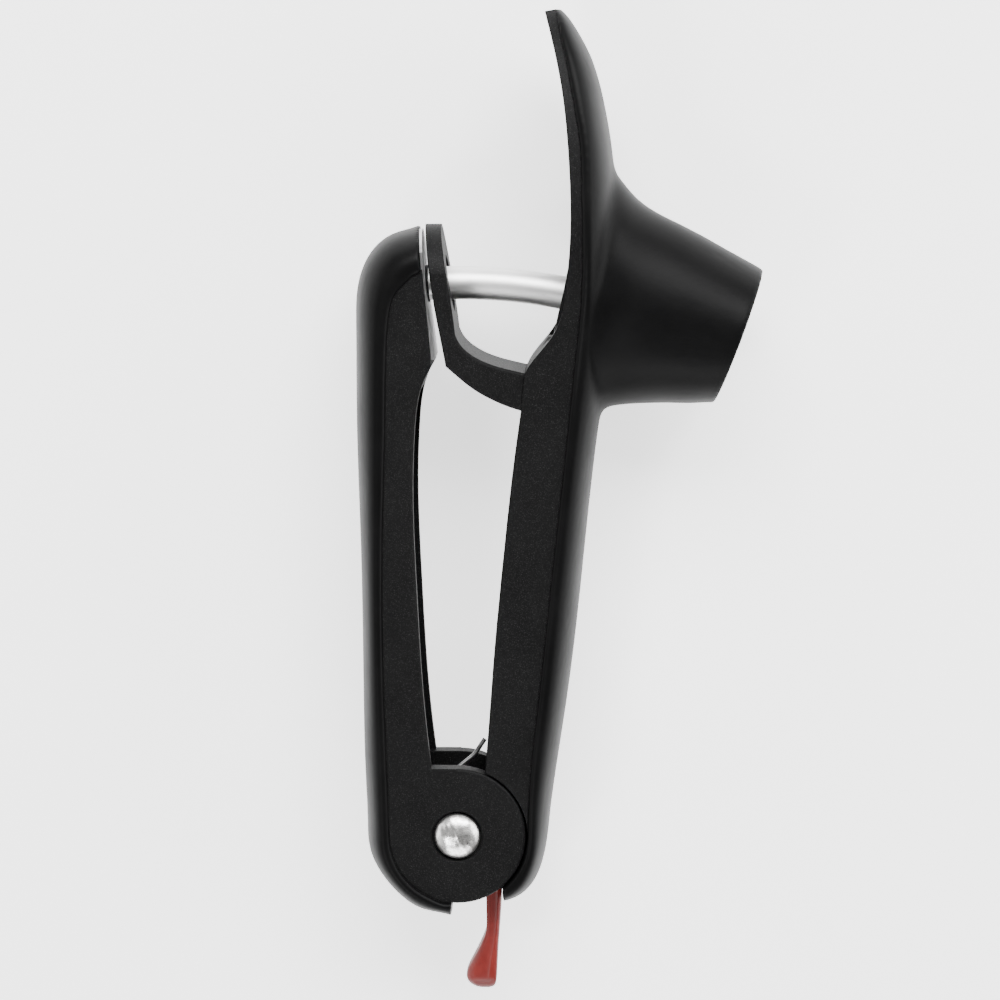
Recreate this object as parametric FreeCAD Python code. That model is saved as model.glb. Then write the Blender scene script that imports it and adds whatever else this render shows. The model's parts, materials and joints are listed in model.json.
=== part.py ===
import FreeCAD, Part
import math
import os

os.makedirs("parts", exist_ok=True)

# Hand-held cherry pitter, closed and locked.  Millimetres.
# Everything is drawn about the hinge: X runs from the lever to the spout, Y up the handles,
# Z along the hinge pin, with Z = 0 on the plane of symmetry.  save() moves each piece into
# the part's own frame: origin at the centre of the box's floor.
BOX_X = (-19.57, 59.17)
BOX_Y = (-33.0, 159.2)
HALF_DEPTH = 18.0
TO_FRAME = FreeCAD.Vector(-sum(BOX_X) / 2, -sum(BOX_Y) / 2, HALF_DEPTH)

# hinge
EAR_RADIUS = 13.3
EAR_INNER = 6.9
CORE_HALF = 11.0
SHELL_HALF = 12.0
SHELL_LAP = 0.4
KNUCKLE_RADIUS = 9.7
KNUCKLE_HALF = 6.1
EAR_CLEARANCE = 13.7
RING_INNER = 10.1
PIN_RADIUS = 2.6
BUSH_BORE = 2.65
BUSH_RADIUS = 4.0
DOME_RADIUS = 4.45
DOME_HEIGHT = 2.4
RECESS_RADIUS = 4.95
RECESS_DEPTH = 0.8
WASHER_RADIUS = 8.0
WASHER_THICK = 0.5

# torsion spring
WIRE = 0.9
COIL_RADIUS = 5.4
COIL_PITCH = 1.25
COIL_TURNS = 2.666
COIL_START = 180.0
SHORT_LEG = [(-5.0, -16.7), (-2.9, -13.5), (COIL_RADIUS, -6.9), (COIL_RADIUS, 0.0)]
BEND_RADIUS = 5.5
LONG_LEG = 15.3

# plunger rod, bent to an arc about the hinge
ROD_ARC = 106.9
ROD_RADIUS = 3.2
ROD_ROOT = -7.0
ROD_TIP = 17.5

# lock tab
TAB_LEFT = 5.3
TAB_RIGHT = 8.4
TAB_HALF = 3.0
TAB_TOP = -8.2
LOCK_TRAVEL = 4.0
GUIDE_GAP = 0.3

# cup, guard and spout
CUP_RADIUS = 12.0
CUP_WALL = 2.0
PIT_HOLE = 6.0
CUP_CENTRE = (14.2, 106.3)
CUP_TILT = -12.5
GUARD_HALF = 17.95
RIM_STEP = 1.0
WALL = 2.4
SPOUT_WALL = 1.8
SECTION_STEP = 5.5
MOUTH = (54.4, 96.4)
MOUTH_RADIUS = 13.7
MOUTH_TILT = -20.4


def vec(x, y, z=0.0):
    return FreeCAD.Vector(x, y, z)


def save(shape, name):
    placed = shape.copy()
    placed.translate(TO_FRAME)
    placed.exportStep("parts/" + name + ".step")


def curve(points):
    spline = Part.BSplineCurve()
    spline.interpolate([vec(x, y) for x, y in points])
    return spline.toShape()


def line(start, end):
    return Part.makeLine(vec(*start), vec(*end))


def arc(radius, start, end):
    """Arc about the hinge from one angle to another, in degrees."""
    angles = [math.radians(a) for a in (start, (start + end) / 2, end)]
    ends = [vec(radius * math.cos(a), radius * math.sin(a)) for a in angles]
    return Part.Arc(*ends).toShape()


def plate(edges, low, high):
    """Closed outline in the XY plane, as a plate from low to high in Z."""
    face = Part.Face(Part.Wire(Part.__sortEdges__(edges)))
    face.translate(vec(0, 0, low))
    return face.extrude(vec(0, 0, high - low))


def polygon(points, low, high):
    edges = [line(a, b) for a, b in zip(points, points[1:] + points[:1])]
    return plate(edges, low, high)


def rod_z(x, y, radius, low, high):
    return Part.makeCylinder(radius, high - low, vec(x, y, low))


def box(x, y, z):
    return Part.makeBox(x[1] - x[0], y[1] - y[0], z[1] - z[0], vec(x[0], y[0], z[0]))


def both(shape):
    """A piece and its mirror image across the plane of symmetry."""
    return shape, shape.mirror(vec(0, 0, 0), vec(0, 0, 1))


def soften(shape, radius, test):
    """Round the edges whose middle point passes the test."""
    chosen = []
    for edge in shape.Edges:
        middle = edge.valueAt((edge.FirstParameter + edge.LastParameter) / 2)
        if test(edge, middle):
            chosen.append(edge)
    return shape.makeFillet(radius, chosen)


def flat_edges(half):
    """Test for the outline edges that lie wholly on the two faces at Z = +half and -half."""
    def test(edge, middle):
        ends = [v.Z for v in edge.Vertexes] + [middle.z]
        return all(abs(abs(z) - half) < 0.01 for z in ends)
    return test


def shell_section(inner, outer, half):
    """Cross-section of a soft shell: flat against the core, rounded on the outside."""
    across = vec(outer[0] - inner[0], outer[1] - inner[1])
    profile = [(0.0, 0.93), (0.05, 0.97), (0.12, 0.99), (0.23, 1.0), (0.43, 0.955), (0.64, 0.82),
               (0.83, 0.59), (0.96, 0.27)]
    start = vec(*inner)
    side = [start + across * d + vec(0, 0, half * w) for d, w in profile]
    other = [start + across * d - vec(0, 0, half * w) for d, w in reversed(profile)]
    spline = Part.BSplineCurve()
    spline.interpolate(side + [start + across] + other)
    return Part.Wire([spline.toShape(), Part.makeLine(other[-1], side[0])])


def smooth(values, stations):
    """Spline through the given vectors at the given stations."""
    spline = Part.BSplineCurve()
    spline.interpolate(Points=values, Parameters=stations)
    return spline


def shell_loft(sections):
    """Solid through the sections, respaced evenly along their outer points."""
    outer = [vec(*o) for i, o, h in sections]
    stations = [0.0]
    for a, b in zip(outer, outer[1:]):
        stations.append(stations[-1] + a.distanceToPoint(b))
    outer_line = smooth(outer, stations)
    inner_line = smooth([vec(*i) for i, o, h in sections], stations)
    half_line = smooth([vec(s, h) for s, (i, o, h) in zip(stations, sections)], stations)
    count = max(4, round(stations[-1] / SECTION_STEP))
    wires = []
    for k in range(count + 1):
        at = stations[-1] * k / count
        inner, rim = inner_line.value(at), outer_line.value(at)
        wires.append(shell_section((inner.x, inner.y), (rim.x, rim.y), half_line.value(at).y))
    return Part.makeLoft(wires, True, False)


def on_ring(radius, angle):
    a = math.radians(angle)
    return (radius * math.cos(a), radius * math.sin(a))


def oval(centre, tilt, tall, wide):
    """Ellipse across the spout: tall in the plane of symmetry, wide along Z."""
    t = math.radians(tilt)
    up = vec(-math.sin(t), math.cos(t))
    spline = Part.BSplineCurve()
    steps = [math.radians(360 * k / 16) for k in range(16)]
    middle = vec(*centre)
    points = [middle + up * (tall * math.cos(s)) + vec(0, 0, wide * math.sin(s)) for s in steps]
    spline.interpolate(Points=points, PeriodicFlag=True)
    return Part.Wire([spline.toShape()])


def arc_rod(radius, start, end):
    """Round bar of the given radius on the plunger's arc; angles from +Y towards +X."""
    centre = vec(0, ROD_ARC)
    circle = Part.Wire([Part.makeCircle(radius, centre, vec(1, 0, 0))])
    solid = Part.Face(circle).revolve(vec(0, 0, 0), vec(0, 0, -1), end - start)
    solid.rotate(vec(0, 0, 0), vec(0, 0, -1), start)
    return solid


# ---------------------------------------------------------------- outlines in the XY plane

LEVER_SEAM = [(-6.25, 110.0), (-10.0, 107.8), (-12.4, 103.5), (-13.2, 98.0), (-13.7, 80.0), (-14.4, 57.0),
              (-14.4, 30.0), (-13.8, 10.0), (-13.5, 0.0)]
LEVER_INNER = [(-4.5, 91.5), (-6.6, 87.0), (-7.8, 79.0), (-8.2, 68.0), (-7.6, 48.0), (-6.4, 27.0),
               (-4.9, 13.0)]
FRAME_SEAM = [(22.5, 86.5), (21.7, 77.5), (19.1, 54.0), (16.5, 31.0), (14.8, 15.0), (13.8, 5.0), (13.7, 0.0)]
FRAME_INNER = [(12.6, 83.0), (11.2, 73.0), (9.0, 53.5), (7.3, 36.0), (6.3, 23.0), (5.3, 11.0)]
GUARD_SEAM = [(22.15, 82.5), (22.7, 88.0), (24.2, 103.0), (24.7, 120.0), (24.0, 135.0), (21.8, 148.0),
              (19.4, 159.2)]
GUARD_RIM = [(13.4, 90.2), (16.2, 94.3), (18.3, 96.9), (19.8, 99.6), (20.7, 102.6), (21.2, 106.0),
             (22.1, 116.0), (21.85, 131.0), (20.45, 144.5), (18.2, 155.0), (17.2, 158.8)]


def guard_half(y):
    """Half width of the guard at a height up the part."""
    if y > 117.0:
        return GUARD_HALF * math.sqrt(max(0.0, 1 - ((y - 117.0) / 42.8) ** 2))
    if y < 82.0:
        return SHELL_HALF
    t = (y - 82.0) / 35.0
    t = t * t * (3 - 2 * t)
    return SHELL_HALF + (GUARD_HALF - SHELL_HALF) * t


# ---------------------------------------------------------------- lever body

def make_rod():
    rod = arc_rod(ROD_RADIUS, ROD_ROOT, ROD_TIP)
    return soften(rod, 0.8, lambda e, m: m.x > 28)


def make_lever_frame(rod):
    """Channel with a solid head at the top and two ear discs at the hinge."""
    ring_end = -95.0
    bottom = on_ring(EAR_CLEARANCE - 0.2, ring_end)
    edges = [
        curve(LEVER_SEAM),
        arc(EAR_CLEARANCE - 0.2, 180.0, 360.0 + ring_end),
        line(bottom, on_ring(RING_INNER, ring_end)),
        arc(RING_INNER, 360.0 + ring_end, 150.0),
        line(on_ring(RING_INNER, 150.0), (-4.9, 9.0)),
        line((-4.9, 9.0), (-4.9, 13.0)),
        curve(LEVER_INNER),
        line((-4.5, 91.5), (-6.25, 110.0)),
    ]
    body = plate(edges, -CORE_HALF, CORE_HALF)
    body = soften(body, 0.5, lambda e, m: flat_edges(CORE_HALF)(e, m) and m.x > -9.0 and 14.0 < m.y < 95.0)
    channel = [(-4.0, 88.0), (-11.4, 85.0), (-11.6, 76.0), (-12.1, 57.0), (-12.1, 30.0), (-11.4, 8.0),
               (-2.0, 8.0)]
    body = body.cut(polygon(channel, -8.5, 8.5))
    body = body.cut(rod_z(0, 0, RING_INNER, -EAR_INNER, EAR_INNER))
    for low, high in ((EAR_INNER, CORE_HALF), (-CORE_HALF, -EAR_INNER)):
        ear = rod_z(0, 0, EAR_RADIUS, low, high)
        outside = high if high > 0 else low
        ear = soften(ear, 0.5, lambda e, m: abs(m.z - outside) < 0.01 and e.Length > 20)
        body = body.fuse(ear).fuse(box((-8.0, 0.0), (6.0, EAR_RADIUS), (low, high)))
    body = body.cut(rod_z(0, 0, PIN_RADIUS, -CORE_HALF, CORE_HALF))
    for recess in both(rod_z(0, 0, RECESS_RADIUS, CORE_HALF - RECESS_DEPTH, CORE_HALF)):
        body = body.cut(recess)
    return body.cut(rod)


def make_lever_shell(*cutters):
    """Soft cover over the back of the lever, from the lower lip to the top of the head."""
    inner = EAR_CLEARANCE - 0.2 - SHELL_LAP
    lip = [(265.0, 17.5), (245.0, 17.6), (225.0, 17.75), (205.0, 17.95), (190.0, 18.2)]
    sections = [(on_ring(inner, a), on_ring(r, a), SHELL_HALF) for a, r in lip]
    sections += [
        ((-13.1, 0.0), (-18.1, 0.5), SHELL_HALF),
        ((-13.4, 10.0), (-18.4, 10.0), SHELL_HALF),
        ((-14.0, 30.0), (-18.7, 30.0), SHELL_HALF),
        ((-14.0, 57.0), (-19.0, 57.0), SHELL_HALF),
        ((-13.3, 80.0), (-19.55, 80.0), SHELL_HALF),
        ((-12.8, 97.0), (-19.55, 98.0), SHELL_HALF),
        ((-12.0, 103.2), (-19.2, 106.0), SHELL_HALF),
        ((-10.5, 106.2), (-16.9, 112.4), SHELL_HALF),
        ((-8.7, 108.0), (-12.5, 116.3), SHELL_HALF),
        ((-6.35, 109.3), (-7.0, 118.1), SHELL_HALF),
    ]
    return shell_loft(sections).cut(list(cutters))


def make_rod_plate(rod):
    """Metal plate let into the side of the head around the root of the rod."""
    outline = [(-7.9, 117.3), (-5.2, 92.6), (-4.05, 92.6), (-5.75, 106.0), (-6.5, 117.4)]
    face = polygon(outline, -8.6, 8.6)
    arch = Part.makeCylinder(10.9, 20, vec(-15, 106.5), vec(1, 0, 0))
    arch = arch.fuse(box((-15, 5), (80, 106.5), (-CORE_HALF, CORE_HALF)))
    return face.common(arch).cut(rod)


def make_rod_plate_screws():
    """Two flush screws through the plate into the head."""
    screws = []
    for x, y in ((-6.25, 113.0), (-4.6, 96.6)):
        way = vec(-1, -0.09)
        head = Part.makeCylinder(1.9, 0.5, vec(x, y), way)
        shank = Part.makeCylinder(0.9, 5.5, vec(x - 0.1, y), way)
        screws.append(head.fuse(shank))
    return Part.makeCompound(screws)


def make_rivet():
    """Pin through ears and knuckle with a domed head in the front recess."""
    shaft = rod_z(0, 0, PIN_RADIUS, -CORE_HALF + RECESS_DEPTH, CORE_HALF - RECESS_DEPTH)
    return shaft.fuse(dome())


def dome():
    """Low domed head standing in the recess of the front ear."""
    base = CORE_HALF - RECESS_DEPTH
    ball = (DOME_RADIUS ** 2 + (DOME_HEIGHT - 0.6) ** 2) / (2 * (DOME_HEIGHT - 0.6))
    edge = Part.makeCylinder(DOME_RADIUS, DOME_HEIGHT, vec(0, 0, base))
    cap = Part.makeSphere(ball, vec(0, 0, base + DOME_HEIGHT - ball))
    return edge.common(cap)


def make_washers():
    top = rod_z(0, 0, WASHER_RADIUS, EAR_INNER - WASHER_THICK, EAR_INNER)
    top = top.cut(rod_z(0, 0, PIN_RADIUS, 0, CORE_HALF))
    return Part.makeCompound(both(top))


# ---------------------------------------------------------------- holder body

# centre, tilt, half height and half width of the spout's outside, from the guard to the mouth
SPOUT = [
    ((24.2, 105.3), 0.0, 22.0, 14.2),
    ((28.0, 105.3), 0.0, 22.4, 14.5),
    ((31.0, 105.2), -0.5, 22.3, 14.7),
    ((33.4, 103.6), -1.8, 20.4, 14.8),
    ((36.4, 102.2), -3.8, 18.9, 14.75),
    ((40.0, 101.1), -6.0, 17.75, 14.6),
    ((44.0, 99.9), -9.4, 16.6, 14.4),
    ((48.0, 98.5), -13.6, 15.45, 14.15),
    ((51.4, 97.4), -17.4, 14.5, 13.9),
    (MOUTH, MOUTH_TILT, MOUTH_RADIUS, MOUTH_RADIUS),
]


def spout_outer():
    return Part.makeLoft([oval(*row) for row in SPOUT], True, False)


def spout_inner():
    """Inside of the spout, from behind the cup to just past the mouth."""
    narrow = [(centre, tilt, tall - SPOUT_WALL, wide - SPOUT_WALL) for centre, tilt, tall, wide in SPOUT[3:]]
    start = ((26.5, 105.0), 0.0, 18.2, 12.3)
    way = math.radians(MOUTH_TILT)
    past = (MOUTH[0] + 2.0 * math.cos(way), MOUTH[1] + 2.0 * math.sin(way))
    radius = MOUTH_RADIUS - SPOUT_WALL
    rows = [start] + narrow + [(past, MOUTH_TILT, radius, radius)]
    return Part.makeLoft([oval(*row) for row in rows], True, False)


GUARD_BACK = [(86.5, 28.6), (92.0, 29.3), (103.0, 30.2), (115.0, 30.8), (127.0, 30.6), (135.0, 29.8),
              (141.0, 28.7), (148.0, 26.9), (154.0, 24.1)]


def guard_seam(y):
    """Seam of the guard's shell in the plane of symmetry, at height y."""
    for (x0, y0), (x1, y1) in zip(GUARD_SEAM, GUARD_SEAM[1:]):
        if y <= y1:
            return x0 + (x1 - x0) * (y - y0) / (y1 - y0)
    return GUARD_SEAM[-1][0]


def bowl():
    """Hollow of the guard, cut from the lever's side."""
    sections = []
    for y, back in GUARD_BACK[2:]:
        half = guard_half(y) - WALL
        sections.append(((10.0, y), (back - WALL, y), half))
    sections.insert(0, ((10.0, 96.0), (26.8, 96.0), 11.0))
    sections.append(((10.0, 156.2), (20.6, 156.2), 3.6))
    return shell_loft(sections)


def make_shield_shell(*cutters):
    """Soft grip, splash guard and hollow spout in one piece."""
    sections = [((8.7, -10.6), (8.9, -14.4), SHELL_HALF)]
    ring = [(-45.0, 18.25), (-30.0, 18.1), (-12.0, 17.6)]
    sections += [(on_ring(EAR_CLEARANCE, a), on_ring(r, a), SHELL_HALF) for a, r in ring]
    sections += [
        ((13.7, 0.5), (17.7, 0.5), SHELL_HALF),
        ((13.9, 8.5), (18.7, 8.5), SHELL_HALF),
        ((15.5, 25.0), (21.2, 25.0), SHELL_HALF),
        ((18.0, 48.0), (24.0, 48.0), SHELL_HALF),
        ((21.1, 76.0), (27.1, 76.0), SHELL_HALF),
    ]
    for y, back in GUARD_BACK:
        sections.append(((guard_seam(y) - SHELL_LAP, y), (back, y), guard_half(y)))
    sections.append(((19.4, 157.7), (21.6, 157.7), guard_half(157.7)))
    sections.append(((19.0, 159.2), (20.2, 159.2), guard_half(159.2)))
    return shell_loft(sections).fuse(spout_outer()).cut(list(cutters))


def make_holder_frame():
    """Channel of the fixed handle, its knuckle, the cup seat and the rim of the guard."""
    grip = [
        curve(FRAME_SEAM),
        line((13.7, 0.0), (6.0, 1.0)),
        line((6.0, 1.0), (5.3, 11.0)),
        curve(FRAME_INNER),
        line((12.6, 83.0), (13.4, 90.2)),
        line((13.4, 90.2), (22.5, 86.5)),
    ]
    body = plate(grip, -CORE_HALF, CORE_HALF)
    body = soften(body, 0.5, lambda e, m: flat_edges(CORE_HALF)(e, m) and m.x < 12.0 and m.y > 14.0)
    for ear_room in both(rod_z(0, 0, EAR_CLEARANCE, KNUCKLE_HALF, CORE_HALF + 1)):
        body = body.cut(ear_room)
    channel = [(4.0, 24.0), (13.6, 24.0), (16.2, 46.0), (18.6, 68.0), (19.2, 78.0), (9.0, 78.0)]
    body = body.cut(polygon(channel, -8.5, 8.5))
    side = [
        curve(GUARD_RIM),
        curve(GUARD_SEAM),
        line((17.2, 158.8), (19.4, 159.2)),
        line((13.4, 90.2), (12.6, 83.0)),
        line((12.6, 83.0), (22.15, 82.5)),
    ]
    rim = plate(side, -HALF_DEPTH, HALF_DEPTH)
    heights = [88.0, 94.0, 100.0, 106.0, 112.0, 117.0, 124.0, 131.0, 138.0, 144.0, 149.0, 153.0, 156.5]
    right = [vec(0, 78.0, CORE_HALF - 0.3), vec(0, 82.5, CORE_HALF - 0.1)]
    right += [vec(0, y, guard_half(y) - RIM_STEP) for y in heights]
    right += [vec(0, 159.3, 2.4)]
    left = [vec(0, p.y, -p.z) for p in reversed(right)]
    side_a = Part.BSplineCurve()
    side_a.interpolate(right)
    side_b = Part.BSplineCurve()
    side_b.interpolate(left)
    front = Part.Wire([side_a.toShape(), Part.makeLine(right[-1], left[0]), side_b.toShape(),
                       Part.makeLine(left[-1], right[0])])
    rim = rim.common(Part.Face(front).extrude(vec(40, 0, 0)))
    body = body.fuse(rim)
    # knuckle between the ears, with the arm that joins it to the handle
    knuckle = rod_z(0, 0, KNUCKLE_RADIUS, -KNUCKLE_HALF, KNUCKLE_HALF)
    arm = [(2.0, 3.0), (8.4, -10.4), (8.9, -12.6), (15.0, -5.5), (14.3, 3.0), (8.0, 9.0)]
    knuckle = knuckle.fuse(polygon(arm, -KNUCKLE_HALF, KNUCKLE_HALF))
    knuckle = knuckle.fuse(box((3.8, 9.1), (-11.5, -4.0), (-KNUCKLE_HALF, KNUCKLE_HALF)))
    body = body.fuse(knuckle)
    # guide of the lock tab and the slots of its cross pin
    body = body.cut(tab_guide())
    body = body.cut(box((5.7, 7.9), (-11.2, -4.7), (-4.9, 4.9)))
    body = body.cut(clip_strip(0.3))
    # room for the coil and its two legs
    body = body.cut(rod_z(0, 0, 6.4, -2.8, 2.8))
    wedge = [(-4.0, 0.0), (4.0, 0.0), (5.6, 15.2), (4.0, 16.0), (-12.0, 16.0), (-12.0, 6.0)]
    body = body.cut(polygon(wedge, -2.8, 2.8))
    return body.cut(rod_z(0, 0, BUSH_RADIUS, -KNUCKLE_HALF, KNUCKLE_HALF))


def tab_guide():
    """Room in which the neck of the lock tab slides."""
    gap = GUIDE_GAP
    return box((TAB_LEFT - gap, TAB_RIGHT + gap), (-20.0, TAB_TOP + LOCK_TRAVEL + 0.5),
               (-TAB_HALF - gap, TAB_HALF + gap))


def make_bush():
    tube = rod_z(0, 0, BUSH_RADIUS, -KNUCKLE_HALF, KNUCKLE_HALF)
    return tube.cut(rod_z(0, 0, BUSH_BORE, -KNUCKLE_HALF, KNUCKLE_HALF))


def bent_run(points, radius):
    """Straight runs between points in the XY plane, joined by tangent arcs."""
    edges = []
    start = vec(*points[0])
    for before, at, after in zip(points, points[1:], points[2:]):
        corner = vec(*at)
        back = (vec(*before) - corner).normalize()
        ahead = (vec(*after) - corner).normalize()
        half = ahead.getAngle(back) / 2
        first = corner + back * (radius / math.tan(half))
        last = corner + ahead * (radius / math.tan(half))
        middle = corner + (back + ahead).normalize() * (radius / math.sin(half) - radius)
        edges += [Part.makeLine(start, first), Part.Arc(first, middle, last).toShape()]
        start = last
    return edges + [Part.makeLine(start, vec(*points[-1]))]


def make_torsion_spring():
    """Coil around the bush; the bent leg rests on the holder, the straight one on the lever."""
    height = COIL_PITCH * COIL_TURNS
    helix = Part.makeHelix(COIL_PITCH, height, COIL_RADIUS)
    slope = math.atan(COIL_PITCH / (2 * math.pi * COIL_RADIUS))
    turn = math.radians(360 * COIL_TURNS)
    far = vec(COIL_RADIUS * math.cos(turn), COIL_RADIUS * math.sin(turn), height)
    far_way = vec(-math.sin(turn) * math.cos(slope), math.cos(turn) * math.cos(slope), math.sin(slope))
    short_leg = Part.Wire(bent_run(SHORT_LEG, BEND_RADIUS))
    short_leg.rotate(vec(0, 0, 0), vec(1, 0, 0), math.degrees(slope))
    long_leg = Part.makeLine(far, far + far_way * LONG_LEG)
    path = Part.Wire(short_leg.Edges + helix.Edges + [long_leg])
    first = short_leg.Edges[0]
    end = first.Vertexes[0].Point
    profile = Part.Wire([Part.makeCircle(WIRE / 2, end, first.tangentAt(first.FirstParameter))])
    spring = path.makePipeShell([profile], True, False)
    spring.rotate(vec(0, 0, 0), vec(0, 0, 1), COIL_START)
    spring.translate(vec(0, 0, -height / 2))
    return spring


def make_yoke():
    """Upright plate with a round arched top and a hole for the rod, on a foot."""
    left = [(-5.9, 118.4), (-5.1, 111.5), (-4.1, 104.0), (-2.6, 96.0), (-1.75, 91.5)]
    foot = [(-1.75, 91.5), (0.1, 89.9), (2.9, 87.6), (6.7, 85.3), (12.6, 83.0)]
    right = [(-2.9, 118.4), (-1.7, 110.0), (-0.8, 104.3), (0.1, 97.6)]
    top = [(0.1, 97.6), (1.4, 95.3), (4.8, 92.8), (9.6, 91.1), (13.4, 90.2)]
    edges = [curve(left), curve(foot), curve(right), curve(top), line((-5.9, 118.4), (-2.9, 118.4)),
             line((12.6, 83.0), (13.4, 90.2))]
    side = plate(edges, -CORE_HALF, CORE_HALF)
    side = soften(side, 0.5, lambda e, m: flat_edges(CORE_HALF)(e, m) and m.y < 117 and m.x < 12)
    arch = Part.makeCylinder(11.2, 60, vec(-20, 107.1), vec(1, 0, 0))
    arch = arch.fuse(box((-20, 40), (70, 107.1), (-CORE_HALF, CORE_HALF)))
    yoke = side.common(arch)
    hole = Part.makeCylinder(5.5, 12, vec(-8, 106.9), vec(1, 0, 0))
    yoke = yoke.cut(hole)
    tongue = box((12.0, 16.0), (84.5, 88.6), (-6.0, 6.0))
    return yoke.fuse(tongue)


def make_yoke_screws():
    """Two screws from below through the frame into the tongue of the yoke."""
    screws = []
    for z in (-4.0, 4.0):
        head = Part.makeCylinder(1.9, 1.4, vec(15.0, 78.1, z), vec(0, 1, 0))
        shank = Part.makeCylinder(0.9, 7.6, vec(15.0, 79.5, z), vec(0, 1, 0))
        screws.append(head.fuse(shank))
    return Part.makeCompound(screws)


def cup_axis():
    a = math.radians(CUP_TILT)
    return vec(math.cos(a), math.sin(a))


def make_cup():
    """Insert in the guard: a round dish with the pit hole, on a plate that fills the guard."""
    axis = cup_axis()
    centre = vec(*CUP_CENTRE)
    dish = Part.makeSphere(CUP_RADIUS + CUP_WALL, centre)
    dish = dish.common(Part.makeCylinder(20, 20, centre + axis * 6.5, axis))
    slab = Part.makeCylinder(40, CUP_WALL, centre + axis * 6.5, axis)
    cup = bowl().common(slab.fuse(dish))
    cup = cup.cut(box((0, 60), (128.5, 170), (-30, 30)))
    cup = cup.cut(Part.makeSphere(CUP_RADIUS, centre))
    return cup.cut(Part.makeCylinder(PIT_HOLE, 40, centre, axis))


def cup_room():
    """The dish and the way of the pit, which nothing behind the cup may fill."""
    centre = vec(*CUP_CENTRE)
    return Part.makeSphere(CUP_RADIUS, centre).fuse(Part.makeCylinder(PIT_HOLE, 40, centre, cup_axis()))


def make_cup_screws():
    """Two screws through the plate of the cup into the rim."""
    axis = cup_axis()
    centre = vec(*CUP_CENTRE)
    up = vec(-axis.y, axis.x)
    screws = []
    for z in (-7.5, 7.5):
        foot = centre + axis * 6.0 + up * 15.0 + vec(0, 0, z)
        screws.append(Part.makeCylinder(1.6, 0.9, foot, axis).fuse(Part.makeCylinder(0.9, 2.4, foot, axis)))
    return Part.makeCompound(screws)


# ---------------------------------------------------------------- lock body

def make_lock_tab():
    """Flat neck that slides in the guide, on a foot flared towards the lever."""
    edges = [
        line((TAB_LEFT, TAB_TOP), (TAB_LEFT, -19.0)),
        curve([(TAB_LEFT, -19.0), (4.8, -22.2), (3.4, -25.2), (1.25, -29.8)]),
        curve([(1.25, -29.8), (1.6, -31.6), (3.3, -32.7), (5.5, -33.0), (6.9, -32.5), (7.3, -30.6)]),
        line((7.3, -30.6), (TAB_RIGHT, -14.0)),
        line((TAB_RIGHT, -14.0), (TAB_RIGHT, TAB_TOP)),
        line((TAB_RIGHT, TAB_TOP), (TAB_LEFT, TAB_TOP)),
    ]
    return plate(edges, -TAB_HALF, TAB_HALF)


def make_lock_pin():
    return rod_z(6.8, -10.0, 0.8, -4.5, 4.5)


def clip_strip(grow):
    """Thin strip that lies against the guide's right wall, bowed towards the tab."""
    wall = TAB_RIGHT + GUIDE_GAP
    outline = [(wall + 0.45, -11.2), (wall + 0.9, -11.2), (wall + 0.9, -5.2), (wall + 0.45, -5.2),
               (wall, -8.2)]
    strip = polygon(outline, -2.2 - grow, 2.2 + grow)
    if grow:
        strip = strip.fuse(box((wall - 1.0, wall + 1.0), (-11.5, -4.9), (-2.5, 2.5)))
    return strip


# ---------------------------------------------------------------- write every piece

rod = make_rod()
rod_plate = make_rod_plate(rod)
plate_screws = make_rod_plate_screws()
cross_pin = rod_z(-11.3, 106.25, 1.0, -CORE_HALF + 0.6, CORE_HALF - 0.6)
lever_core = make_lever_frame(rod)
save(rod.cut(cross_pin), "plunger_rod")
save(cross_pin, "rod_cross_pin")
save(rod_plate.cut(plate_screws), "rod_plate")
save(plate_screws, "rod_plate_screws")
save(lever_core.cut([rod_plate, plate_screws, cross_pin]), "lever_frame")
save(make_lever_shell(lever_core, rod, rod_plate, plate_screws, cross_pin), "lever_grip_shell")
save(make_rivet(), "hinge_rivet")
save(dome().mirror(vec(0, 0, 0), vec(0, 0, 1)), "rivet_rear_cap")
save(make_washers(), "thrust_washers")

hollow = bowl()
passage = spout_inner()
yoke = make_yoke()
yoke_screws = make_yoke_screws()
cup = make_cup()
cup_screws = make_cup_screws()
spring = make_torsion_spring()
holder_core = make_holder_frame().cut([hollow, passage, cup_room()])
save(holder_core.cut([yoke, yoke_screws, spring, cup_screws]), "holder_frame")
shield = make_shield_shell(hollow, passage, holder_core, cup, cup_screws, tab_guide(), clip_strip(0.3))
save(shield, "shield_grip_shell")
save(cup.cut(cup_screws), "cherry_cup")
save(cup_screws, "cup_screws")
save(yoke.cut(yoke_screws), "stripper_yoke")
save(yoke_screws, "yoke_screws")
save(make_bush(), "hinge_bush")
save(spring, "torsion_spring")
save(clip_strip(0), "lock_clip")

lock_pin = make_lock_pin()
save(make_lock_tab().cut(lock_pin), "lock_tab")
save(lock_pin, "lock_cross_pin")
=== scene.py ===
"""Looks of the hand-held cherry pitter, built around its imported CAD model. Metres."""

import json
import math

import bmesh
import bpy
from mathutils import Matrix, Vector


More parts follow.
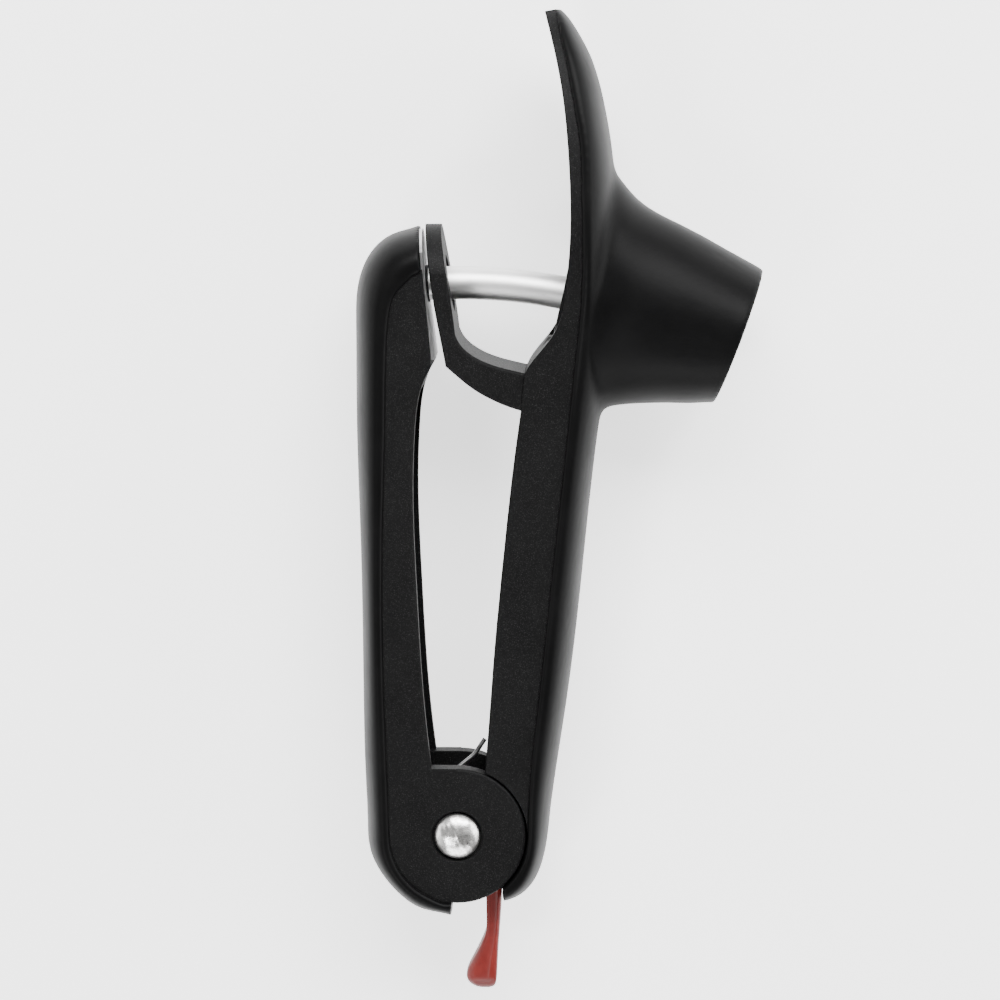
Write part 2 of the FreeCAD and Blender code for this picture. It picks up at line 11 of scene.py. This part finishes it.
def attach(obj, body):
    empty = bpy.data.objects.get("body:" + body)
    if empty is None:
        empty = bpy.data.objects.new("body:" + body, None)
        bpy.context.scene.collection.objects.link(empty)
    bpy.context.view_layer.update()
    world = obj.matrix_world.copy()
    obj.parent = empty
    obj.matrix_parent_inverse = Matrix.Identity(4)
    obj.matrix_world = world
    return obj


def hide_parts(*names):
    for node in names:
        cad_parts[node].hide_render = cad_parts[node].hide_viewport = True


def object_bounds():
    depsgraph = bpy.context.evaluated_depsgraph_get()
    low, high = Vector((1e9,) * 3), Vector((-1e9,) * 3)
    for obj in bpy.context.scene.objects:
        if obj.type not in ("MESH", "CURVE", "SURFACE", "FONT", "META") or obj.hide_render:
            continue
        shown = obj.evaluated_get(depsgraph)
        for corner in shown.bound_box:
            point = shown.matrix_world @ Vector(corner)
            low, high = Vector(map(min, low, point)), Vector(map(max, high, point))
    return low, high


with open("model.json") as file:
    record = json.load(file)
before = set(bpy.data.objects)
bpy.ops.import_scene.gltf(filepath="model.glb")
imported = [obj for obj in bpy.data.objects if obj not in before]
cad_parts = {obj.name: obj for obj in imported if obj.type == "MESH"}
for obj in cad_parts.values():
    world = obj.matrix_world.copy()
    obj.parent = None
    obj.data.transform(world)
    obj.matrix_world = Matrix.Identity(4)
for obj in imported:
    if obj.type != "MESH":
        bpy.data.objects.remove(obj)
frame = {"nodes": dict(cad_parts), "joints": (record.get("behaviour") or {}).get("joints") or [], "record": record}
cad_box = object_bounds()
MM = 0.001
nodes = frame["nodes"]
hinge = next(j for j in frame["joints"] if j["name"] == "lever_hinge")
PIVOT = Vector(hinge["pos_m"])


def at(x, y, z=0.0):
    """A point given in millimetres from the hinge, on the part's plane of symmetry when z is 0."""
    return PIVOT + Vector((x, y, z)) * MM


# ------------------------------------------------------------------ material helpers


class Look:
    """A procedural material with short calls for the nodes it uses."""

    def __init__(self, name, **fixed):
        self.material = bpy.data.materials.new(name)
        self.material.use_nodes = True
        self.tree = self.material.node_tree
        self.shader = self.tree.nodes["Principled BSDF"]
        self.place = self.tree.nodes.new("ShaderNodeTexCoord").outputs["Object"]
        for socket, value in fixed.items():
            self.shader.inputs[socket.replace("_", " ")].default_value = value

    def node(self, kind, **settings):
        made = self.tree.nodes.new("ShaderNode" + kind)
        for key, value in settings.items():
            setattr(made, key, value)
        return made

    def link(self, source, target):
        self.tree.links.new(source, target)

    def stretched(self, x=1.0, y=1.0, z=1.0, rotation=0.0):
        mapping = self.node("Mapping")
        mapping.inputs["Scale"].default_value = (x, y, z)
        mapping.inputs["Rotation"].default_value = (0, 0, rotation)
        self.link(self.place, mapping.inputs["Vector"])
        return mapping.outputs["Vector"]

    def noise(self, size_mm, detail=3.0, roughness=0.5, place=None):
        made = self.node("TexNoise")
        made.inputs["Scale"].default_value = 1.0 / (size_mm * MM)
        made.inputs["Detail"].default_value = detail
        made.inputs["Roughness"].default_value = roughness
        self.link(place or self.place, made.inputs["Vector"])
        return made.outputs["Fac"]

    def cells(self, size_mm):
        made = self.node("TexVoronoi")
        made.inputs["Scale"].default_value = 1.0 / (size_mm * MM)
        self.link(self.place, made.inputs["Vector"])
        return made.outputs["Distance"]

    def remap(self, source, low, high, from_low=0.3, from_high=0.7):
        made = self.node("MapRange")
        made.inputs["From Min"].default_value = from_low
        made.inputs["From Max"].default_value = from_high
        made.inputs["To Min"].default_value = low
        made.inputs["To Max"].default_value = high
        self.link(source, made.inputs["Value"])
        return made.outputs["Result"]

    def ramp(self, source, *stops):
        made = self.node("ValToRGB")
        elements = made.color_ramp.elements
        while len(elements) < len(stops):
            elements.new(0.5)
        for element, (where, color) in zip(elements, stops):
            element.position = where
            element.color = (*color, 1.0)
        self.link(source, made.inputs["Fac"])
        return made.outputs["Color"]

    def add(self, first, second, weight=1.0):
        made = self.node("Math", operation="MULTIPLY_ADD")
        made.inputs[1].default_value = weight
        self.link(second, made.inputs[0])
        self.link(first, made.inputs[2])
        return made.outputs["Value"]

    def color(self, source):
        self.link(source, self.shader.inputs["Base Color"])

    def roughness(self, source):
        self.link(source, self.shader.inputs["Roughness"])

    def bump(self, source, depth_mm, strength=1.0, edge_mm=0.0):
        """Fine relief; edge_mm also catches the light along sharp edges, as a moulded edge does."""
        made = self.node("Bump")
        if edge_mm:
            edge = self.node("Bevel", samples=6)
            edge.inputs["Radius"].default_value = edge_mm * MM
            self.link(edge.outputs["Normal"], made.inputs["Normal"])
        made.inputs["Strength"].default_value = strength
        made.inputs["Distance"].default_value = depth_mm * MM
        self.link(source, made.inputs["Height"])
        self.link(made.outputs["Normal"], self.shader.inputs["Normal"])


def soft_shell():
    """Satin black soft-touch plastic: broad sheen, very fine tooth, faint handling marks."""
    look = Look("soft_shell", Specular_IOR_Level=0.06)
    marks = look.noise(14.0, 5.0, 0.6)
    look.color(look.ramp(marks, (0.3, (0.0022, 0.0022, 0.0023)), (0.7, (0.0036, 0.0036, 0.0037))))
    fine = look.noise(0.22, 2.0)
    look.roughness(look.add(look.remap(marks, 0.36, 0.44), fine, 0.06))
    look.bump(fine, 0.006, 0.6)
    return look.material


def matte_core():
    """Glass-filled black plastic: spark-eroded grain with fine lighter specks."""
    look = Look("matte_core", Specular_IOR_Level=0.08)
    grain = look.noise(0.35, 4.0, 0.7)
    specks = look.noise(0.16, 1.0, 0.4)
    broad = look.noise(9.0, 3.0)
    tone = look.ramp(broad, (0.3, (0.0028, 0.0028, 0.0029)), (0.7, (0.0042, 0.0042, 0.0043)))
    bright = look.ramp(specks, (0.58, (0.0, 0.0, 0.0)), (0.80, (0.028, 0.028, 0.028)))
    mix = look.node("Mix", data_type="RGBA", blend_type="ADD")
    mix.inputs["Factor"].default_value = 1.0
    look.link(tone, mix.inputs[6])
    look.link(bright, mix.inputs[7])
    look.color(mix.outputs[2])
    look.roughness(look.remap(grain, 0.44, 0.62))
    look.bump(look.add(grain, specks, 0.5), 0.018, 0.7, 0.4)
    return look.material


def satin_steel():
    """Bead-blasted steel of the rod: light, even, with a fine frosty grain."""
    look = Look("satin_steel", Metallic=1.0)
    grain = look.noise(0.12, 3.0, 0.6)
    drift = look.noise(6.0, 3.0)
    look.color(look.ramp(drift, (0.3, (0.88, 0.875, 0.87)), (0.7, (0.95, 0.945, 0.94))))
    look.roughness(look.add(look.remap(drift, 0.40, 0.48), grain, 0.08))
    look.bump(grain, 0.008, 0.6)
    return look.material


def polished_steel():
    """Pressed and tumbled rivet steel: bright, slightly uneven, with small pits."""
    look = Look("polished_steel", Metallic=1.0)
    waves = look.noise(1.9, 2.0, 0.5)
    pits = look.noise(0.45, 4.0, 0.75)
    look.color(look.ramp(pits, (0.36, (0.42, 0.41, 0.40)), (0.50, (0.88, 0.87, 0.85))))
    look.roughness(look.remap(pits, 0.38, 0.26))
    look.bump(look.add(waves, pits, 0.12), 0.12, 0.7)
    return look.material


def grey_plate():
    """Light grey satin plate, with a fine vertical brush."""
    look = Look("grey_plate", Metallic=0.9)
    brush = look.noise(0.2, 3.0, 0.6, look.stretched(y=0.05))
    look.color(look.ramp(brush, (0.3, (0.50, 0.50, 0.505)), (0.7, (0.60, 0.60, 0.605))))
    look.roughness(look.remap(brush, 0.28, 0.42))
    look.bump(brush, 0.006, 0.5)
    return look.material


def lock_red():
    """Dark brick red plastic, satin, a little cloudy from moulding."""
    look = Look("lock_red", Specular_IOR_Level=0.3, Subsurface_Weight=0.05)
    look.shader.inputs["Subsurface Scale"].default_value = 0.4 * MM
    cloud = look.noise(3.2, 4.0, 0.6)
    fine = look.noise(0.25, 2.0)
    look.color(look.ramp(cloud, (0.25, (0.095, 0.0065, 0.005)), (0.75, (0.155, 0.0135, 0.010))))
    look.roughness(look.add(look.remap(cloud, 0.34, 0.46), fine, 0.06))
    look.bump(look.add(cloud, fine, 0.15), 0.03, 0.5)
    return look.material


def cup_plastic():
    """Dark grey moulded plastic with a fine etched face."""
    look = Look("cup_plastic", Specular_IOR_Level=0.25)
    grain = look.noise(0.3, 3.0, 0.6)
    look.color(look.ramp(grain, (0.3, (0.012, 0.012, 0.0125)), (0.7, (0.02, 0.02, 0.0205))))
    look.roughness(look.remap(grain, 0.38, 0.52))
    look.bump(grain, 0.012, 0.6)
    return look.material


def spring_steel():
    """Drawn spring wire: bright, drawn smooth, with faint changes of tone along it."""
    look = Look("spring_steel", Metallic=1.0)
    tone = look.noise(2.5, 2.0, 0.5)
    look.color(look.ramp(tone, (0.3, (0.78, 0.775, 0.77)), (0.7, (0.90, 0.895, 0.89))))
    look.roughness(look.remap(tone, 0.30, 0.40))
    return look.material


def bush_bronze():
    """Sintered bronze of the hinge bush, faintly porous."""
    look = Look("bush_bronze", Metallic=1.0)
    pores = look.cells(0.25)
    look.color(look.ramp(pores, (0.1, (0.30, 0.19, 0.09)), (0.4, (0.52, 0.36, 0.18))))
    look.roughness(look.remap(pores, 0.5, 0.32, 0.0, 0.5))
    look.bump(pores, 0.02, 0.5)
    return look.material


LOOKS = {
    "soft_shell": soft_shell(),
    "matte_core": matte_core(),
    "cup_plastic": cup_plastic(),
    "lock_red": lock_red(),
    "polished_steel": polished_steel(),
    "satin_steel": satin_steel(),
    "spring_steel": spring_steel(),
    "bush_bronze": bush_bronze(),
    "grey_plate": grey_plate(),
}
SLOT_OF = {row["node"]: row["material_slot"] for row in frame["record"]["subparts"]}


def dress(obj, slot_name):
    """Give a piece the material of one of the record's slots."""
    obj.data.materials.clear()
    obj.data.materials.append(LOOKS[slot_name])


def smooth_faces(obj, angle=32.0):
    """Smooth shading that keeps the edges sharper than the angle."""
    obj.data.polygons.foreach_set("use_smooth", [True] * len(obj.data.polygons))
    sharp = math.radians(angle)
    mesh = bmesh.new()
    mesh.from_mesh(obj.data)
    for edge in mesh.edges:
        edge.smooth = len(edge.link_faces) == 2 and edge.calc_face_angle(0.0) < sharp
    mesh.to_mesh(obj.data)
    mesh.free()


def piece(name, mesh, body, slot_name, *stands_for):
    """Put a finished mesh into the scene as a piece that moves with a body."""
    made = bpy.data.objects.new(name, mesh)
    bpy.context.scene.collection.objects.link(made)
    dress(made, slot_name)
    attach(made, body)
    if stands_for:
        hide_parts(*stands_for)
    return made


def applied(mesh, *modifiers, weights=None):
    """The mesh after some modifiers, each given as its kind and its settings."""
    holder = bpy.data.objects.new("work", mesh)
    bpy.context.scene.collection.objects.link(holder)
    if weights is not None:
        group = holder.vertex_groups.new(name="zone")
        for index, weight in enumerate(weights):
            if weight > 0.0:
                group.add([index], weight, "REPLACE")
    for kind, settings in modifiers:
        modifier = holder.modifiers.new(kind, kind)
        for key, value in settings.items():
            setattr(modifier, key, value)
    done = bpy.data.meshes.new_from_object(holder.evaluated_get(bpy.context.evaluated_depsgraph_get()))
    bpy.data.objects.remove(holder)
    return done


def ramp_up(value, low, high):
    t = min(1.0, max(0.0, (value - low) / (high - low)))
    return t * t * (3.0 - 2.0 * t)


# ------------------------------------------------------------------ soft shells


def moulded(name, voxel_mm, blend=None):
    """Skin of a CAD shell with eased edges; blend gives how far each place is smoothed further."""
    even = ("REMESH", {"mode": "VOXEL", "voxel_size": voxel_mm * MM})
    ease = ("SMOOTH", {"factor": 0.5, "iterations": 5})
    mesh = applied(nodes[name].data.copy(), even, ease)
    if blend:
        weights = [blend((v.co - PIVOT) / MM) for v in mesh.vertices]
        further = ("SMOOTH", {"factor": 0.5, "iterations": 160, "vertex_group": "zone"})
        mesh = applied(mesh, further, weights=weights)
    mesh.polygons.foreach_set("use_smooth", [True] * len(mesh.polygons))
    return mesh


def spout_root(place):
    """Full where the spout grows out of the guard, nothing at the seam and the mouth."""
    return ramp_up(place.x, 25.6, 28.0) * (1.0 - ramp_up(place.x, 37.0, 43.0)) * ramp_up(place.y, 66.0, 74.0)


shield_skin = moulded("shield_grip_shell", 0.4, spout_root)
piece("shield_skin", shield_skin, "holder", "soft_shell", "shield_grip_shell")
lever_skin = moulded("lever_grip_shell", 0.35)
piece("lever_skin", lever_skin, "plunger_lever", "soft_shell", "lever_grip_shell")

# ------------------------------------------------------------------ turned and swept pieces


def rings(rows, closed_ends=True):
    """Mesh through rows of points; every row is a closed ring with the same count."""
    mesh = bmesh.new()
    made = [[mesh.verts.new(p) for p in row] for row in rows]
    count = len(rows[0])
    for low, high in zip(made, made[1:]):
        for k in range(count):
            mesh.faces.new((low[k], low[(k + 1) % count], high[(k + 1) % count], high[k]))
    if closed_ends:
        mesh.faces.new(list(reversed(made[0])))
        mesh.faces.new(made[-1])
    bmesh.ops.recalc_face_normals(mesh, faces=mesh.faces)
    data = bpy.data.meshes.new("rings")
    mesh.to_mesh(data)
    mesh.free()
    return data


def turned(profile, foot, axis, steps=96, relief=None):
    """Mesh turned about an axis through foot; the profile gives radius and height in mm."""
    way = Vector(axis).normalized()
    side = way.orthogonal().normalized()
    other = way.cross(side)
    rows = []
    for radius, height in profile:
        row = []
        for k in range(steps):
            a = 2.0 * math.pi * k / steps
            x, y = radius * math.cos(a), radius * math.sin(a)
            lift = relief(x, y, height) if relief else 0.0
            row.append(at(*foot) + (side * x + other * y + way * (height + lift)) * MM)
        rows.append(row)
    data = rings(rows)
    data.polygons.foreach_set("use_smooth", [True] * len(data.polygons))
    return data


# radius and height of the rivet's dome, from its rim to its middle
RIVET_DOME = [(4.45, 10.2), (4.45, 10.45), (4.38, 10.72), (4.18, 11.05), (3.85, 11.4), (3.4, 11.72),
              (2.85, 12.0), (2.2, 12.24), (1.5, 12.42), (0.8, 12.53), (0.25, 12.57), (0.02, 12.58)]


def hammered(x, y, height):
    """Slight unevenness of the closed rivet's top."""
    if height < 10.6:
        return 0.0
    return 0.05 * math.sin(1.9 * x + 0.7) * math.cos(2.3 * y - 0.4) + 0.03 * math.sin(4.1 * x - 1.7 * y)


shaft = [(0.02, -10.2), (2.6, -10.2), (2.6, 10.19)]
rivet_mesh = turned(shaft + RIVET_DOME, (0, 0, 0), (0, 0, 1), relief=hammered)
rivet = piece("rivet_head", rivet_mesh, "plunger_lever", "polished_steel", "hinge_rivet")
smooth_faces(rivet, 40)
cap = [(0.02, 10.2)] + RIVET_DOME
cap_mesh = turned(cap, (0, 0, 0), (0, 0, -1))
rear = piece("rivet_washer_cap", cap_mesh, "plunger_lever", "polished_steel", "rivet_rear_cap")
smooth_faces(rear, 40)

ROD_ARC = 106.9


def on_rod(x):
    """Point of the rod's centre line at a distance from the hinge, and its direction there."""
    a = math.asin(x / ROD_ARC)
    return (x, ROD_ARC * math.cos(a), 0.0), (math.cos(a), -math.sin(a), 0.0)


foot, way = on_rod(-5.55)
collar = [(3.22, -0.3), (3.55, -0.3), (3.6, -0.15), (3.6, 0.08), (3.5, 0.2), (3.22, 0.24)]
piece("rod_collar", turned(collar, foot, way), "plunger_lever", "cup_plastic")

# ------------------------------------------------------------------ screws with a cross recess


def cross_recess(x, y, height):
    """Depth of a cross-shaped drive in the top of a screw head."""
    near, far = sorted((abs(x), abs(y)))
    inside = (1.0 - ramp_up(near, 0.16, 0.28)) * (1.0 - ramp_up(far, 0.85, 1.05))
    return -0.45 * inside if height > 0.0 else 0.0


def screw(radius, head, shank):
    """Profile of a countersunk-looking screw: its top at 0, the shank below."""
    top = [(radius * (1.0 - k / 16.0), 0.02 + 0.06 * ramp_up(k, 0, 8)) for k in range(16)]
    return [(0.02, -shank), (0.8, -shank + 0.3), (0.8, -head), (radius - 0.15, -head), (radius, -head + 0.15),
            (radius, -0.1), (radius - 0.03, -0.02)] + top + [(0.02, 0.08)]


def screws(name, body, node, spots, axis, radius, head, shank):
    """All screws of one CAD node, as one piece."""
    whole = bmesh.new()
    for spot in spots:
        one = turned(screw(radius, head, shank), spot, axis, 72, cross_recess)
        whole.from_mesh(one)
    data = bpy.data.meshes.new(name)
    whole.to_mesh(data)
    whole.free()
    made = piece(name, data, body, "polished_steel", node)
    smooth_faces(made, 38)


yoke_spots = [(15.0, 78.1, -4.0), (15.0, 78.1, 4.0)]
screws("yoke_screw_heads", "holder", "yoke_screws", yoke_spots, (0, -1, 0), 1.9, 1.35, 8.9)

CUP_TILT = math.radians(-12.5)
CUP_AXIS = Vector((math.cos(CUP_TILT), math.sin(CUP_TILT), 0.0))
CUP_UP = Vector((-CUP_AXIS.y, CUP_AXIS.x, 0.0))
above_cup = Vector((14.2, 106.3, 0.0)) + CUP_AXIS * 6.0 + CUP_UP * 15.0
cup_spots = [above_cup + Vector((0, 0, z)) for z in (-7.5, 7.5)]
screws("cup_screw_heads", "holder", "cup_screws", cup_spots, -CUP_AXIS, 1.6, 0.85, 2.3)

plate_way = Vector((1, 0.09, 0)).normalized()
plate_spots = [(-6.33, 113.0, 0.0), (-4.68, 96.6, 0.0)]
screws("plate_screw_heads", "plunger_lever", "rod_plate_screws", plate_spots, plate_way, 1.85, 0.45, 5.4)

# ------------------------------------------------------------------ lock tab


# height, left edge, right edge, half depth and width of the left bevel, from the neck to the foot
TAB_ROWS = [
    (-8.2, 5.3, 8.4, 3.0, 0.15), (-12.0, 5.3, 8.4, 3.0, 0.15), (-15.0, 5.3, 8.3, 3.0, 0.15),
    (-18.0, 5.32, 8.1, 3.0, 0.2), (-20.2, 5.33, 7.93, 3.0, 0.3), (-21.6, 5.05, 7.84, 3.0, 0.45),
    (-23.2, 4.35, 7.7, 3.0, 0.6), (-24.7, 3.65, 7.6, 3.0, 0.8), (-26.8, 2.55, 7.49, 3.0, 1.0),
    (-28.7, 1.5, 7.39, 3.0, 1.15), (-29.7, 1.3, 7.34, 3.0, 1.15), (-30.6, 1.27, 7.3, 2.9, 1.1),
    (-31.4, 1.6, 7.22, 2.5, 1.0), (-32.1, 2.3, 7.0, 2.0, 0.85), (-32.6, 3.1, 6.6, 1.4, 0.6),
    (-32.9, 4.1, 6.1, 0.8, 0.35),
]


def tab_row(y, left, right, half, bevel):
    """Ring around the tab: flat face with a bevel at its left and a raised line near its right edge."""
    ridge = right - 0.24 * (right - left)
    front = [
        (left, 0.45 * half), (left + 0.1 * bevel, half - bevel),
        (left + 0.5 * bevel, half - 0.55 * bevel), (left + bevel, half - 0.2),
        (left + bevel + 0.12, half - 0.13), (ridge - 0.3, half - 0.13), (ridge - 0.1, half - 0.02),
        (ridge + 0.1, half - 0.02), (right - 0.25, half - 0.3), (right, half - 0.6), (right, 0.45 * half),
    ]
    ring = front + [(x, -z) for x, z in reversed(front)]
    return [at(x, y, z) for x, z in ring]


tab = applied(rings([tab_row(*row) for row in TAB_ROWS]), ("SUBSURF", {"levels": 2}))
tab_piece = piece("lock_tab_moulding", tab, "lock", "lock_red", "lock_tab")
smooth_faces(tab_piece, 50)

for name, node in nodes.items():
    if node.data.materials:
        for index in range(len(node.data.materials)):
            node.data.materials[index] = LOOKS[SLOT_OF[name]]
    else:
        node.data.materials.append(LOOKS[SLOT_OF[name]])

# ------------------------------------------------------------------ stage, light and camera


def make_floor():
    """Pale floor that the pitter lies on."""
    bpy.ops.mesh.primitive_plane_add(size=6.0, location=(0, 0, cad_box[0][2] - 0.0002))
    floor = bpy.context.object
    floor.name = "floor"
    look = Look("floor_paper", Specular_IOR_Level=0.2, Emission_Color=(1, 1, 1, 1), Emission_Strength=1.6)
    tone = look.noise(60.0, 3.0)
    look.color(look.ramp(tone, (0.3, (0.86, 0.86, 0.86)), (0.7, (0.89, 0.89, 0.89))))
    look.roughness(look.remap(tone, 0.75, 0.85))
    floor.data.materials.append(look.material)


def area_light(name, place, target, size, power):
    """Rectangular lamp at a place, turned towards the target."""
    light = bpy.data.lights.new(name, "AREA")
    light.shape = "RECTANGLE"
    light.size, light.size_y = size
    light.energy = power
    lamp = bpy.data.objects.new(name, light)
    bpy.context.scene.collection.objects.link(lamp)
    lamp.location = place
    lamp.rotation_euler = (Vector(target) - Vector(place)).to_track_quat("-Z", "Y").to_euler()


def make_world():
    """Soft studio surroundings: white around the horizon, darker overhead."""
    world = bpy.data.worlds.new("studio")
    bpy.context.scene.world = world
    world.use_nodes = True
    tree = world.node_tree
    back = tree.nodes["Background"]
    place = tree.nodes.new("ShaderNodeTexCoord")
    split = tree.nodes.new("ShaderNodeSeparateXYZ")
    ramp = tree.nodes.new("ShaderNodeValToRGB")
    tree.links.new(place.outputs["Generated"], split.inputs["Vector"])
    tree.links.new(split.outputs["Z"], ramp.inputs["Fac"])
    tree.links.new(ramp.outputs["Color"], back.inputs["Color"])
    stops = ramp.color_ramp.elements
    stops[0].position, stops[0].color = 0.15, (0.5, 0.5, 0.5, 1)
    stops[1].position, stops[1].color = 0.7, (0.035, 0.035, 0.035, 1)
    back.inputs["Strength"].default_value = 1.0


def make_camera():
    """The photograph's view: from above, a little to the right of the tool."""
    place = at(27.727, 148.384, 663.478)
    target = at(8.235, 64.494, 0.0)
    forward = (target - place).normalized()
    up = Vector((1, 0, 0)).cross(forward).normalized()
    right = forward.cross(up)
    camera = bpy.data.objects.new("camera", bpy.data.cameras.new("camera"))
    bpy.context.scene.collection.objects.link(camera)
    camera.matrix_world = Matrix.Translation(place) @ Matrix((right, up, -forward)).transposed().to_4x4()
    camera.data.lens = 123.516
    camera.data.sensor_width = 36.0
    camera.data.clip_start = 0.01
    bpy.context.scene.camera = camera


make_floor()
make_world()
middle = (0, 0, 0.02)
area_light("right_softbox", (0.80, 0.15, 0.30), middle, (0.9, 0.5), 9.0)
area_light("left_softbox", (-0.80, 0.0, 0.25), middle, (0.9, 0.4), 3.0)
area_light("top_softbox", (0.1, 0.72, 0.72), middle, (1.0, 0.5), 28.0)
area_light("bottom_softbox", (0.0, -0.85, 0.45), middle, (0.9, 0.4), 8.0)
area_light("small_softbox", (-0.38, -0.38, 0.68), (-0.02, -0.06, 0.02), (0.2, 0.2), 3.0)
make_camera()
